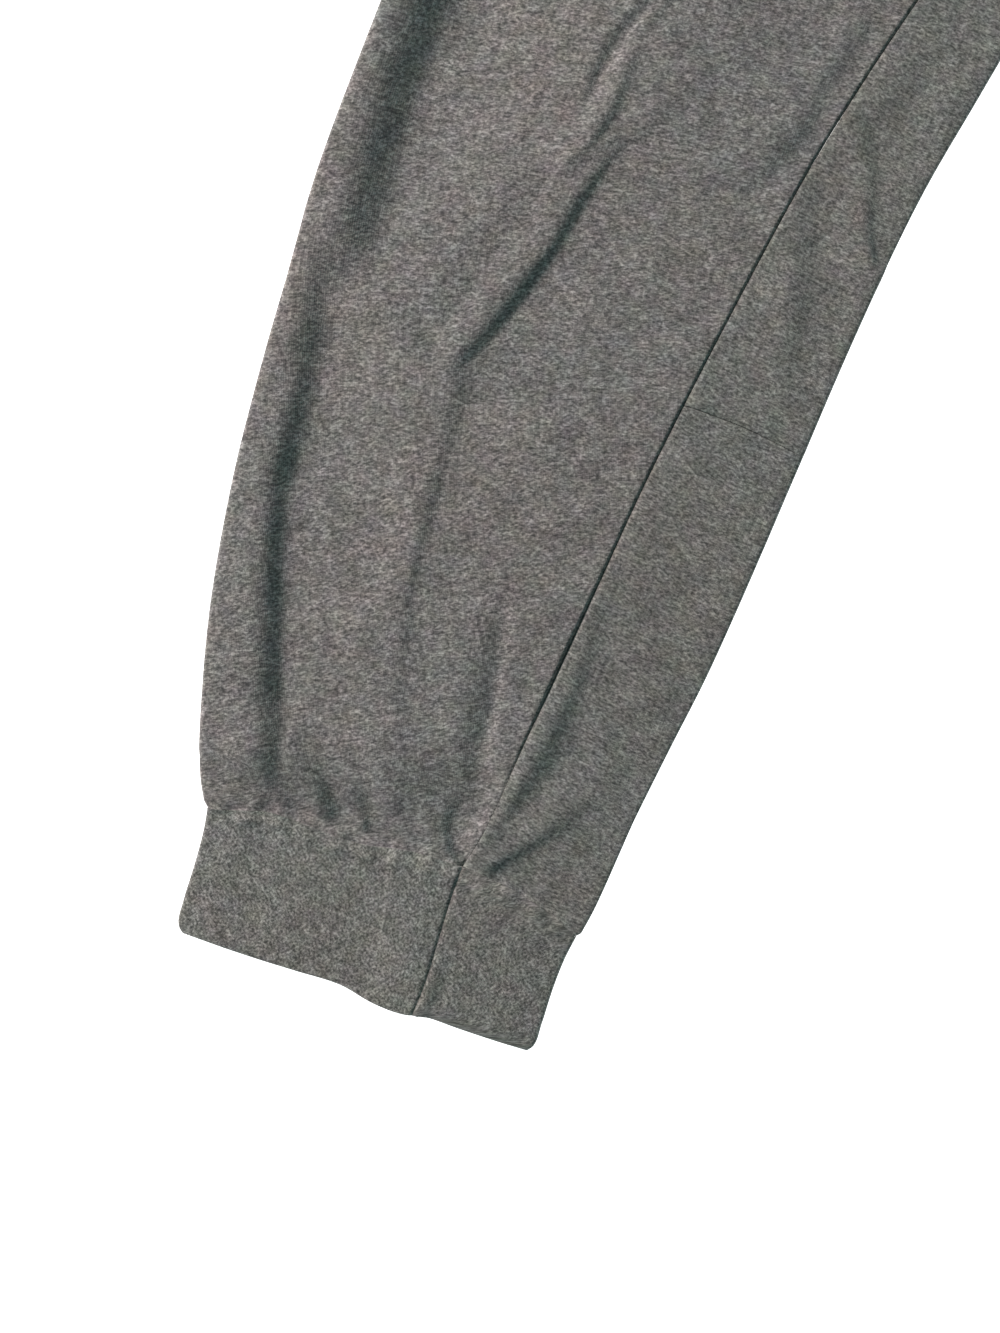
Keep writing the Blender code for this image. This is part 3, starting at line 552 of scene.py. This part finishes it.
frontPanel = {
    "rows": [(61, 0.6), (64.6, 1.6), (215, 1.3), (425, 5), (700, 4), (770, 5), (950, 1.5), (959, 0)],
    "columns": 98,
    "gathered": 0.25,  # the columns stand closer in the middle, where the folds are sharpest
    "edgeColumns": 12,
    "underColumns": 6,
    "wrap": 22.0,  # the outseam lies this far in on the underside
    "wall": 1.8,
    "slot": "panel_fleece",
    "grain": throughPoints([(61, 24), (150, 22), (250, 17), (360, 8), (480, 2), (960, 0)]),
    "pivot": (250.0, 240.0),
    "flat": (0.312, 0.916),
    "area": 0.2300,
}


def layFrontPanel(side, name):
    panel = frontPanel
    up = fleeceRows(panel["rows"])
    edge = centreEdge(up)
    turn = legOuter(up) - garment["outerFold"] - pinched(up)
    start = edge + seamSteps[-1]
    spread = shares(panel["columns"])
    spread = spread + panel["gathered"] * np.sin(2 * math.pi * spread) / (2 * math.pi)
    across = sideBySide(edge + seamSteps[None, :], start + (turn - start) * spread)
    rowUp = settled(across, up)
    above = np.broadcast_to(up - garment["cuffTop"], across.shape)
    fromInner = fromInnerFold(across, rowUp)
    height = upperHeight(side, across, rowUp, above, turn - across, fromInner, across - edge, 1.0)
    reach, rise = roundedEdge(panel["edgeColumns"])
    edgeHeight = height[:, -1:]
    height[:, 0] -= turnedEdge
    height[-1] -= turnedEdge
    under = turn - panel["wrap"] * shares(panel["underColumns"])
    across = sideBySide(across, turn + garment["outerFold"] * reach, under)
    height = sideBySide(height, edgeHeight * rise, np.zeros(under.shape))
    rowUp = settled(across, up)
    flatAcross = unrolled(across, height)
    clothShell(f"{name}_front_panel", panel, side, across, rowUp, height, flatAcross, side == right)


backPanel = {
    "rows": [(61, 2), (75, 5), (959, 0)],
    "columns": 44,
    "wall": 1.8,
    "slot": "panel_fleece",
    "edgeFade": 14,  # the underside lies flat along its edges
    "swells": (16, 41, 80, 26, 0.3),
    "lift": (0.15, 0.6),  # mean and highest
    "grain": 6.0,
    "pivot": (200.0, 300.0),
    "flat": (0.306, 0.898),
    "area": 0.1800,
}


def layBackPanel(side, name):
    panel = backPanel
    up = rowsBetween(panel["rows"])[:, None]
    outseam = legOuter(up) - garment["outerFold"] - frontPanel["wrap"] - garment["seamTouch"]
    edge = centreEdge(up)
    share = np.linspace(0, 1, panel["columns"] + 1)[None, :]
    across = outseam + (edge - outseam) * share
    rowUp = settled(across, up)
    inside = smoothstep(np.minimum(outseam - across, across - edge) / panel["edgeFade"])
    inside *= smoothstep(np.minimum(up - up[0], up[-1] - up) / panel["edgeFade"])
    mean, highest = panel["lift"]
    height = inside * np.clip(mean + undulation(across, rowUp, panel["swells"], side), 0, highest)
    clothShell(f"{name}_back_panel", panel, side, across, rowUp, height, across, side == right)


innerPanel = {
    "lowerRows": [(61, 0.6), (64.6, 1.6), (257, 1.0), (262, 0.5), (265, 0)],
    "upperRows": [(265, 0.5), (268, 1.0), (273, 1.6), (455, 5), (690, 3), (752.9, 0)],
    "columns": 26,
    "edgeColumns": 10,
    "underColumns": 10,
    "wall": 1.8,
    "slot": "strip_fleece",
    "grain": -6.0,
    "pivot": (150.0, 240.0),
    "crossSag": (6.0, 60.0),
    "crossGroove": (0.3, 0.8),
    "crossRidge": (0.8, 2.6, 2.0),  # the seam allowance lifts the upper strip: height, place and width
    "crossLumps": (0.6, 0.4, 9),  # least share, the rest and pitch
    "crossFade": 4,
    "crotchArc": 9.0,
    "arcStart": math.radians(17),
    "rowsTurn": 561.0,
    "rowsReachArc": 736.0,
}
lowerInnerPanel = {**innerPanel, "flat": (0.108, 0.206), "area": 0.0200}
upperInnerPanel = {**innerPanel, "flat": (0.110, 0.490), "area": 0.0330}


def innerEdge(up):  # where a row from the seam meets the inner fold, which is round at the crotch
    panel = innerPanel
    centre = garment["crotch"] - panel["crotchArc"]
    arcUp = centre + panel["crotchArc"] * math.sin(panel["arcStart"])
    reach = (up - panel["rowsTurn"]) / (panel["rowsReachArc"] - panel["rowsTurn"])
    edgeUp = np.where(up <= panel["rowsTurn"], up, panel["rowsTurn"] + (arcUp - panel["rowsTurn"]) * reach)
    topRow = panel["upperRows"][-1][0]
    share = np.clip((up - panel["rowsReachArc"]) / (topRow - panel["rowsReachArc"]), 0, 1)
    turn = panel["arcStart"] + (math.pi / 2 - panel["arcStart"]) * share
    rounding = up > panel["rowsReachArc"]
    across = np.where(rounding, panel["crotchArc"] * np.cos(turn), legInner(edgeUp))
    return across, np.where(rounding, centre + panel["crotchArc"] * np.sin(turn), edgeUp)


def layInnerPanel(side, name, part, rows, panel):
    touch = garment["seamTouch"]
    up = fleeceRows(rows)
    seam = np.maximum(legSeam(up) - touch, touch)
    edgeAcross, edgeUp = innerEdge(up)
    length = np.hypot(edgeAcross - seam, edgeUp - up)
    width = length - garment["innerFold"] - pinched(up)
    sagDepth, sagReach = panel["crossSag"]
    sag = sagDepth * bell((up - garment["crossSeam"]) / sagReach)

    def laid(reach):
        x = seam + (edgeAcross - seam) * reach / length
        y = up + (edgeUp - up) * reach / length
        return np.maximum(x, touch), settled(x, y) - sag * (reach / length) ** 2, y - garment["cuffTop"]

    start = seamSteps[-1]
    spread = shares(panel["columns"])
    reach = sideBySide(seamSteps[None, :] * np.ones(up.shape), start + (width - start) * spread)
    across, rowUp, above = laid(reach)
    fromOuter = legOuter(rowUp) - garment["outerFold"] - across
    seamShare = upperLayer["innerSeamShare"](up)
    fromInner = fromInnerFold(across, rowUp)
    height = upperHeight(side, across, rowUp, above, fromOuter, fromInner, reach, seamShare)
    grooveDepth, grooveReach = panel["crossGroove"]
    ridgeHeight, ridgeAt, ridgeWidth = panel["crossRidge"]
    aboveCross = up - garment["crossSeam"]
    height -= grooveDepth * bell(aboveCross / grooveReach)
    least, rest, pitch = panel["crossLumps"]
    ridge = ridgeHeight * (least + rest * gathers(reach, pitch)) * bell((aboveCross - ridgeAt) / ridgeWidth)
    height += ridge * smoothstep(reach / panel["crossFade"]) * (aboveCross >= 0)
    edgeHeight = height[:, -1:].copy()
    height[:, 0] -= turnedEdge
    if part == "upper":
        height[0] -= turnedEdge
    height[-1] -= turnedEdge
    cosine, rise = roundedEdge(panel["edgeColumns"])
    back = np.linspace(1, 0, panel["underColumns"] + 1)[None, 1:]
    foldAcross, foldUp, _ = laid(sideBySide(width + garment["innerFold"] * cosine, width * back))
    across = sideBySide(across, foldAcross)
    rowUp = sideBySide(rowUp, foldUp)
    height = sideBySide(height, edgeHeight * rise, np.zeros((len(up), back.shape[1])))
    flatAcross = 2 * across[:, :1] - unrolled(across, height)
    clothShell(f"{name}_inner_panel_{part}", panel, side, across, rowUp, height, flatAcross, side == left)


cuff = {
    "rows": [(0, 0.35), (1.4, 0.7), (3.5, 1.5), (53, 1.0), (57, 0.5), (61, 0)],
    "columns": 72,
    "edgeColumns": 12,
    "underColumns": 50,
    "stripColumns": 26,
    "wall": 2.6,
    "slot": "band_fleece",
    "height": 7.3,
    "crown": (0.5, 14),  # height and reach
    "swells": (12, 71, 60, 20, 0.14),
    "reliefFade": 6,
    "hemRound": (1.2, 2.4),
    "hemTurn": 0.8,
    "lip": (1.5, 4.4, 2.6),  # the seam allowance inside lifts the cloth: height, place and width
    "lipLumps": (0.4, 0.6),
    "topLift": 0.2,  # the top of the cuff lies this much over the valley of the seam
    "topReach": 3.0,
    "topTurn": 2.4,
    "groove": (0.75, 0.8),
    "grain": -40.0,
    "pivot": (220.0, 30.0),
    "flat": (0.304, 0.062),
    "area": 0.0178,
}
cuffFolds = {
    "beside the seam": [
        (186, 44, 0, 3, 3), (187.6, 24, -0.6, 2.6, 3), (189, 12, -1.1, 2.4, 3.4),
        (190.4, -4, -0.9, 2.4, 3.4)],
    "from the pucker": [(197, 62, 0, 3, 3), (189, 52, -0.5, 3, 3), (184, 40, 0, 3, 4)],
    "middle": [(262, 60, 0, 12, 12), (252, 34, 0.35, 14, 12), (246, 4, 0.2, 12, 12)],
    "past the seam": [(201, 70, 1.0, 14, 32), (202, 32, 2.3, 14, 32), (203, -8, 2.0, 14, 32)],
}


def layCuff(side, name):
    band = cuff
    nominal = fleeceRows(band["rows"])
    outerTurn = cuffOuter(nominal) - garment["bandFold"]
    innerTurn = cuffInner(nominal) + garment["bandFold"]
    seam = cuffSeam(nominal)
    touch = garment["seamTouch"]
    cosine, rise = roundedEdge(band["edgeColumns"])

    def topHeight(across, fromEdge, fromSeam):
        up = lifted(across)
        height = band["height"] + band["crown"][0] * smoothstep(fromEdge / band["crown"][1])
        relief = undulation(across, up, band["swells"], side)
        addFolds(cuffFolds, ridgeShape, across, up, relief)
        lipHeight, lipAt, lipWidth = band["lip"]
        below = garment["cuffTop"] - nominal
        least, rest = band["lipLumps"]
        relief += lipHeight * bell((below - lipAt) / lipWidth) * (least + rest * cuffGathers(across))
        height = height + relief * smoothstep(fromEdge / band["reliefFade"])
        height += (cuffSeamHeight(across) + band["topLift"] - height) * bell(below / band["topReach"])
        height -= band["groove"][0] * bell(fromSeam / band["groove"][1])
        return height - hemRound

    def lifted(across):
        low = hemAt(across)
        return low + (cuffTopAt(across) - touch - low) * nominal / garment["cuffTop"]

    def fromSeamTo(turn, sewn, columns):
        return sideBySide(sewn, sewn[:, -1:] + (turn - sewn[:, -1:]) * shares(columns))

    hemRound = edgeDrop(nominal, *band["hemRound"])
    acrossOut = fromSeamTo(outerTurn, seam + touch + seamSteps[None, :], band["columns"])
    heightOut = topHeight(acrossOut, outerTurn - acrossOut, acrossOut - seam)
    acrossIn = fromSeamTo(innerTurn, seam - touch - seamSteps[None, :], band["stripColumns"])
    heightIn = topHeight(acrossIn, acrossIn - innerTurn, seam - acrossIn)
    outerHeight, innerHeight = heightOut[:, -1:], heightIn[:, -1:]
    for height in (heightOut, heightIn):
        height[:, 0] -= turnedEdge
        height[0] -= band["hemTurn"]
        height[-1] -= band["topTurn"]
    acrossUnder = outerTurn + (innerTurn - outerTurn) * shares(band["underColumns"])[:, :-1]
    edgeOut = outerTurn + garment["bandFold"] * cosine
    edgeIn = innerTurn - garment["bandFold"] * cosine[:, ::-1]
    across = sideBySide(acrossOut, edgeOut, acrossUnder, edgeIn, acrossIn[:, ::-1])
    foldOut = hemRound + (outerHeight - hemRound) * rise
    foldIn = hemRound + (innerHeight - hemRound) * rise[:, ::-1]
    heightUnder = hemRound * np.ones(acrossUnder.shape)
    height = sideBySide(heightOut, foldOut, heightUnder, foldIn, heightIn[:, ::-1])
    flatAcross = unrolled(across, height)
    clothShell(f"{name}_cuff", band, side, across, lifted(across), height, flatAcross, side == right)


waistband = {
    "rows": [(959, 0.5), (961.5, 1.1), (966, 2.2), (1000, 1.4), (1005.2, 0.5), (1008, 0)],
    "halfWidth": throughPoints([(959, 203.5), (983.5, 201.0), (1008, 202.0)]),
    "columns": 220,
    "edgeColumns": 12,
    "underColumns": 24,
    "wall": 2.6,
    "slot": "band_fleece",
    "height": 7.6,
    "gathers": (1.25, 13.0),
    "gatherFade": (9, 10),  # from the top edge and from the seam
    "seamGathers": (0.45, 0.55),  # share of the gathers at the seam, and the rest
    "wander": ((2.2, 11, 37), (1.1, 5, 23)),  # size, length up and length across
    "fineGathers": (0.25, 1.7, 40),  # share, how much closer they stand and their start
    "swells": (10, 91, 60, 20, 0.2),
    "edgeRound": (1.2, 2.6),
    "edgeTurn": 0.8,
    "lip": (0.8, 3.2, 2.4),
    "lipLumps": (0.5, 0.5, 9),
    "reliefFade": 9,
    "seamDip": (1.5, 1.3),
    "grain": 0.0,
    "pivot": (0.0, 983.0),
    "flat": (0.812, 0.049),
    "area": 0.0398,
}


def layWaistband():
    band = waistband
    up = fleeceRows(band["rows"])
    turn = band["halfWidth"](up) - garment["bandFold"]
    cosine, rise = roundedEdge(band["edgeColumns"])
    fromTop = garment["length"] - up
    topRound = edgeDrop(fromTop, *band["edgeRound"])
    fromBottom = up - garment["waistSeam"]
    across = turn * np.linspace(1, -1, band["columns"] + 1)[None, :]
    gatherHeight, pitch = band["gathers"]
    topFade, seamFade = band["gatherFade"]
    least, rest = band["seamGathers"]
    full = smoothstep(fromTop / topFade) * (least + rest * smoothstep(fromBottom / seamFade))
    drift = sum(size * np.sin(up / length + across / width) for size, length, width in band["wander"])
    share, closer, start = band["fineGathers"]
    waves = (1 - share) * gathers(across + drift, pitch)
    waves += share * gathers(across * closer + drift + start, pitch)
    relief = gatherHeight * full * waves + undulation(across, up, band["swells"])
    lipHeight, lipAt, lipWidth = band["lip"]
    least, rest, lumpPitch = band["lipLumps"]
    relief += lipHeight * bell((fromBottom - lipAt) / lipWidth) * (least + rest * gathers(across, lumpPitch))
    height = band["height"] + relief * smoothstep((turn - np.abs(across)) / band["reliefFade"])
    dip, dipReach = band["seamDip"]
    height -= dip * bell(fromBottom / dipReach) + topRound
    leftHeight, rightHeight = height[:, :1], height[:, -1:]
    height[0] -= turnedEdge
    height[-1] -= band["edgeTurn"]
    under = turn * np.linspace(0, 1, band["underColumns"] + 1)[None, :-1] + garment["seamTouch"]
    flatUnder = topRound * np.ones(under.shape)
    foldLeft = topRound + (leftHeight - topRound) * rise[:, ::-1]
    foldRight = topRound + (rightHeight - topRound) * rise
    edgeLeft = turn + garment["bandFold"] * cosine[:, ::-1]
    edgeRight = -turn - garment["bandFold"] * cosine
    path = sideBySide(under, edgeLeft, across, edgeRight, -under[:, ::-1])
    height = sideBySide(flatUnder, foldLeft, height, foldRight, flatUnder)
    up = up * np.ones(path.shape)
    clothShell("waistband", band, left, path, up, height, unrolled(path, height), True)


for side, name in ((right, "right"), (left, "left")):
    layFrontPanel(side, name)
    layBackPanel(side, name)
    layInnerPanel(side, name, "lower", innerPanel["lowerRows"], lowerInnerPanel)
    layInnerPanel(side, name, "upper", innerPanel["upperRows"], upperInnerPanel)
    layCuff(side, name)
    print(name, "leg laid")
layWaistband()
print("waistband laid")

fleeces = {
    "panel_fleece": {
        "dark": (0.055, 0.054, 0.053),
        "middle": (0.148, 0.140, 0.135),
        "light": (0.367, 0.350, 0.338),
        "streak": 1.75,
        "size": 640.0,
        "clumpShare": 0.46,
    },
    "strip_fleece": {
        "dark": (0.050, 0.051, 0.048),
        "middle": (0.139, 0.136, 0.128),
        "light": (0.330, 0.324, 0.306),
        "streak": 1.8,
        "size": 650.0,
        "clumpShare": 0.42,
    },
    "band_fleece": {
        "dark": (0.040, 0.042, 0.039),
        "middle": (0.138, 0.136, 0.127),
        "light": (0.374, 0.367, 0.348),
        "streak": 0.9,
        "size": 1060.0,
        "clumpShare": 0.4,
    },
}
fleck = {
    "flecks": (3.0, 0.6, 0.3),  # detail, roughness and warp of the noise
    "clumps": (0.35, 2.0, 0.6),  # size against the flecks, detail and roughness
    "stops": (0.31, 0.49, 0.71),
    "paleFibres": (3.4, 9.0, 430.0),  # stretch, turn in degrees and size
    "paleShare": (0.60, 0.74, 0.0, 0.55),  # noise where they start and are full, and their share there
    "darkFibres": (4.8, -7.0, 300.0),
    "darkShare": (0.61, 0.75, 0.0, 0.6),
    "fibres": (1.0, 0.5, 0.8),
    "speckle": (120.0, 0.12),
    "mottle": (290.0, 2.0, 0.2),  # size, detail and depth
    "cloud": (85.0, 3.0, 0.16),
    "unevenRange": (0.3, 0.7),
    "tintSize": 11.0,
    "tintRange": (0.38, 0.62),
    "cool": (0.975, 1.0, 0.985),
    "warm": (1.02, 0.995, 0.965),
    "knitWale": (340.0, 2.5, 1.6),  # closeness, distortion and its scale
    "pile": (1.6, 0.22, 0.5),  # how far flecks, wales and fibres stand up
    "bump": (0.55, 0.00032),
    "roughness": 0.93,
    "specular": 0.25,
    "sheen": 0.18,
    "sheenRoughness": 0.6,
}


def wired(node, output, inputs):  # an output of a node, once its inputs are set or joined up
    for name, value in inputs.items():
        if isinstance(value, bpy.types.NodeSocket):
            node.id_data.links.new(value, node.inputs[name])
        else:
            node.inputs[name].default_value = value
    return node.outputs[output]


def melangeFleece(name, tones):
    material = bpy.data.materials.new(name)
    material.use_nodes = True
    nodes = material.node_tree.nodes
    flat = nodes.new("ShaderNodeUVMap")
    flat.uv_map = "cloth"

    def turnedFlat(stretch=1.0, turn=0.0):
        turned = (0, 0, math.radians(turn))
        inputs = {"Vector": flat.outputs["UV"], "Scale": (1, stretch, 1), "Rotation": turned}
        return wired(nodes.new("ShaderNodeMapping"), "Vector", inputs)

    def noise(vector, size, detail=2.0, roughness=0.5, warp=0.0, output="Fac"):
        inputs = {"Vector": vector, "Scale": size, "Detail": detail, "Roughness": roughness}
        return wired(nodes.new("ShaderNodeTexNoise"), output, {**inputs, "Distortion": warp})

    def rescaled(value, low, high, toLow, toHigh):
        inputs = {"Value": value, "From Min": low, "From Max": high, "To Min": toLow, "To Max": toHigh}
        return wired(nodes.new("ShaderNodeMapRange"), "Result", inputs)

    def sums(operation, a, b):
        step = nodes.new("ShaderNodeMath")
        step.operation = operation
        return wired(step, "Value", {0: a, 1: b})

    def blend(kind, share, a, b):
        mix = nodes.new("ShaderNodeMix")
        mix.data_type = "RGBA"
        mix.blend_type = kind
        a, b = ((*colour, 1) if isinstance(colour, tuple) else colour for colour in (a, b))
        return wired(mix, "Result", {"Factor": share, "A": a, "B": b})

    def fibresOf(kind):
        stretch, turn, size = fleck[kind]
        return noise(turnedFlat(stretch, turn), size, *fleck["fibres"])

    def uneven(vector, size, detail, depth):  # as much lighter as darker
        return rescaled(noise(vector, size, detail), *fleck["unevenRange"], 1 - depth, 1 + depth)

    plain, streaked = turnedFlat(), turnedFlat(tones["streak"])
    flecks = noise(streaked, tones["size"], *fleck["flecks"])
    size, detail, roughness = fleck["clumps"]
    clumps = noise(streaked, tones["size"] * size, detail, roughness)
    clumps = rescaled(clumps, 0.0, 1.0, -tones["clumpShare"] / 2, tones["clumpShare"] / 2)
    ramp = nodes.new("ShaderNodeValToRGB")
    stops = ramp.color_ramp.elements
    stops[0].position, stops[0].color = fleck["stops"][0], (*tones["dark"], 1)
    stops[1].position, stops[1].color = fleck["stops"][2], (*tones["light"], 1)
    middle = stops.new(fleck["stops"][1])
    middle.color = (*tones["middle"], 1)
    colour = wired(ramp, "Color", {"Fac": sums("ADD", flecks, clumps)})
    fibres = fibresOf("paleFibres")
    colour = blend("MIX", rescaled(fibres, *fleck["paleShare"]), colour, tones["light"])
    colour = blend("MIX", rescaled(fibresOf("darkFibres"), *fleck["darkShare"]), colour, tones["dark"])
    size, share = fleck["speckle"]
    colour = blend("SOFT_LIGHT", share, colour, noise(plain, size, output="Color"))
    shade = sums("MULTIPLY", uneven(streaked, *fleck["mottle"]), uneven(plain, *fleck["cloud"]))
    grey = wired(nodes.new("ShaderNodeCombineColor"), "Color", {0: shade, 1: shade, 2: shade})
    colour = blend("MULTIPLY", 1.0, colour, grey)
    warmth = rescaled(noise(plain, fleck["tintSize"]), *fleck["tintRange"], 0.0, 1.0)
    tint = blend("MIX", warmth, fleck["cool"], fleck["warm"])

    closeness, distortion, detailScale = fleck["knitWale"]
    inputs = {"Vector": plain, "Scale": closeness, "Distortion": distortion, "Detail Scale": detailScale}
    wale = wired(nodes.new("ShaderNodeTexWave"), "Fac", inputs)
    fleckRise, waleRise, fibreRise = fleck["pile"]
    pile = sums("ADD", sums("MULTIPLY", flecks, fleckRise), sums("MULTIPLY", wale, waleRise))
    pile = sums("ADD", pile, sums("MULTIPLY", fibres, fibreRise))
    strength, distance = fleck["bump"]
    inputs = {"Height": pile, "Strength": strength, "Distance": distance}
    wired(nodes["Principled BSDF"], "BSDF", {
        "Base Color": blend("MULTIPLY", 1.0, colour, tint),
        "Roughness": fleck["roughness"],
        "Specular IOR Level": fleck["specular"],
        "Sheen Weight": fleck["sheen"],
        "Sheen Roughness": fleck["sheenRoughness"],
        "Normal": wired(nodes.new("ShaderNodeBump"), "Normal", inputs),
    })
    return material


cloths = {slot: melangeFleece(slot.replace("_", " "), tones) for slot, tones in fleeces.items()}
for piece, node, settings in pieces:
    slot = settings["slot"]
    piece.data.materials.append(cloths[slot])
    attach(piece, "root")
    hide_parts(node)
print("fleece on", len(pieces), "pieces")

studio = {
    "aim": (-0.204, -0.360, 0.005),
    "roll": 17.0,
    "frameHeight": 0.5332,
    "lens": 50.0,
    "sensor": 36.0,
    "floorSize": 3.0,
    "floorDrop": 0.0004,
    "floorColour": (0.86, 0.86, 0.85),
    "floorRoughness": 0.9,
    "floorSpecular": 0.1,
    "floorGlow": 1.5,
    "keyFrom": (-0.951, 0.309),
    "keyRise": 34.0,
    "keyDistance": 2.4,
    "keySize": 0.67,
    "keyWatts": 78.3,
    "keyColour": (1.0, 0.886, 0.88),
    "skyColour": (0.56, 0.98, 1.0),
    "skyStrength": 0.22,
}


def layFloor():
    mesh = bmesh.new()
    bmesh.ops.create_grid(mesh, x_segments=1, y_segments=1, size=studio["floorSize"])
    bmesh.ops.translate(mesh, verts=mesh.verts, vec=(0, 0, -studio["floorDrop"]))
    data = bpy.data.meshes.new("floor")
    mesh.to_mesh(data)
    mesh.free()
    floor = placed("floor", data)
    material = bpy.data.materials.new("pale floor")
    material.use_nodes = True
    wired(material.node_tree.nodes["Principled BSDF"], "BSDF", {
        "Base Color": (*studio["floorColour"], 1),
        "Roughness": studio["floorRoughness"],
        "Specular IOR Level": studio["floorSpecular"],
        "Emission Color": (1, 1, 1, 1),
        "Emission Strength": studio["floorGlow"],
    })
    data.materials.append(material)


def hangLight():
    rise = math.radians(studio["keyRise"])
    away = (studio["keyFrom"][0] * math.cos(rise), studio["keyFrom"][1] * math.cos(rise), math.sin(rise))
    lamp = bpy.data.lights.new("key", "AREA")
    lamp.shape = "DISK"
    lamp.size = studio["keySize"]
    lamp.energy = studio["keyWatts"]
    lamp.color = studio["keyColour"]
    key = placed("key", lamp)
    key.location = [aim + part * studio["keyDistance"] for aim, part in zip(studio["aim"], away)]
    key.rotation_euler = (math.pi / 2 - rise, 0, math.atan2(away[1], away[0]) + math.pi / 2)


def setCamera():
    lens = bpy.data.cameras.new("camera")
    lens.lens = studio["lens"]
    lens.sensor_width = studio["sensor"]
    distance = studio["frameHeight"] / 2 / (studio["sensor"] / 2 / studio["lens"])
    camera = placed("camera", lens)
    camera.location = (studio["aim"][0], studio["aim"][1], studio["aim"][2] + distance)
    camera.rotation_euler = (0, 0, math.radians(studio["roll"]))
    bpy.context.scene.camera = camera


layFloor()
hangLight()
setCamera()
world = bpy.data.worlds.new("studio")
world.use_nodes = True
light = {"Color": (*studio["skyColour"], 1), "Strength": studio["skyStrength"]}
wired(world.node_tree.nodes["Background"], "Background", light)
bpy.context.scene.world = world
bpy.context.scene.view_settings.view_transform = "Standard"
print("studio ready")
